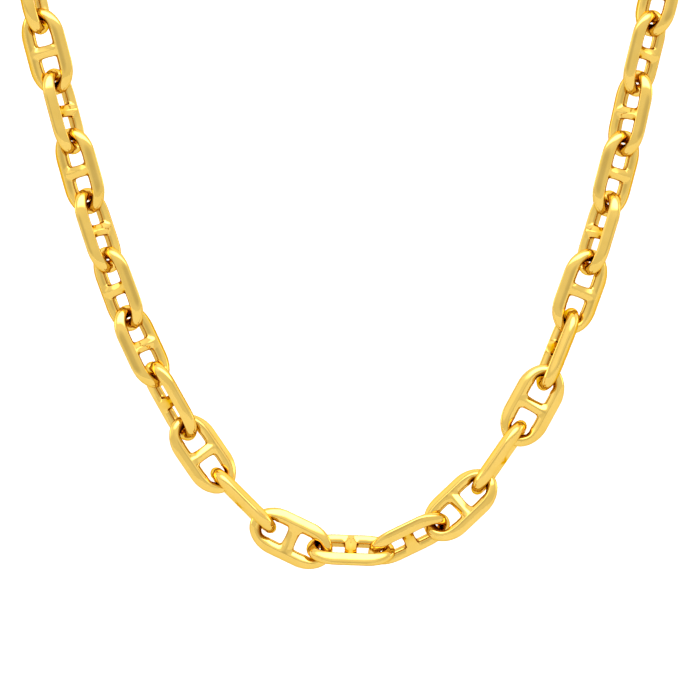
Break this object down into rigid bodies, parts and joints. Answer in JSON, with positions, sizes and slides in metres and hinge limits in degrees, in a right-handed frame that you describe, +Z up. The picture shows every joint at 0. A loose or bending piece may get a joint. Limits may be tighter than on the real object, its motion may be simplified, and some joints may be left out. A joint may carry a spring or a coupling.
{
  "type": "mariner link chain necklace",
  "caption": "Heavy polished gold anchor-link neck chain in its worn form, each link with a crossbar and a quarter turn from the next, closed by a plain lobster clasp.",
  "frame": {"origin": "centre of the neck that the chain hangs round, level with its sides and in the plane of the chest that the front of the chain follows", "axes": "+X to the right as seen from in front, +Y towards the nape, +Z up"},
  "size_m": [0.1317, 0.1032, 0.1283],
  "materials": {
    "gold": "mirror polished yellow gold plate"
  },
  "bodies": {
    "root": {"link_01": "gold", "link_02": "gold", "link_03": "gold", "link_04": "gold", "link_05": "gold", "link_06": "gold", "link_07": "gold", "link_08": "gold", "link_09": "gold", "link_10": "gold", "link_11": "gold", "link_12": "gold", "link_13": "gold", "link_14": "gold", "link_15": "gold", "link_16": "gold", "link_17": "gold", "link_18": "gold", "link_19": "gold", "link_20": "gold", "link_21": "gold", "link_22": "gold", "link_23": "gold", "link_24": "gold", "link_25": "gold", "link_26": "gold", "link_27": "gold", "link_28": "gold", "link_29": "gold", "link_30": "gold", "link_31": "gold", "link_32": "gold", "link_33": "gold", "link_34": "gold", "link_35": "gold", "link_36": "gold", "link_37": "gold", "clasp": "gold"}
  },
  "joints": []
}
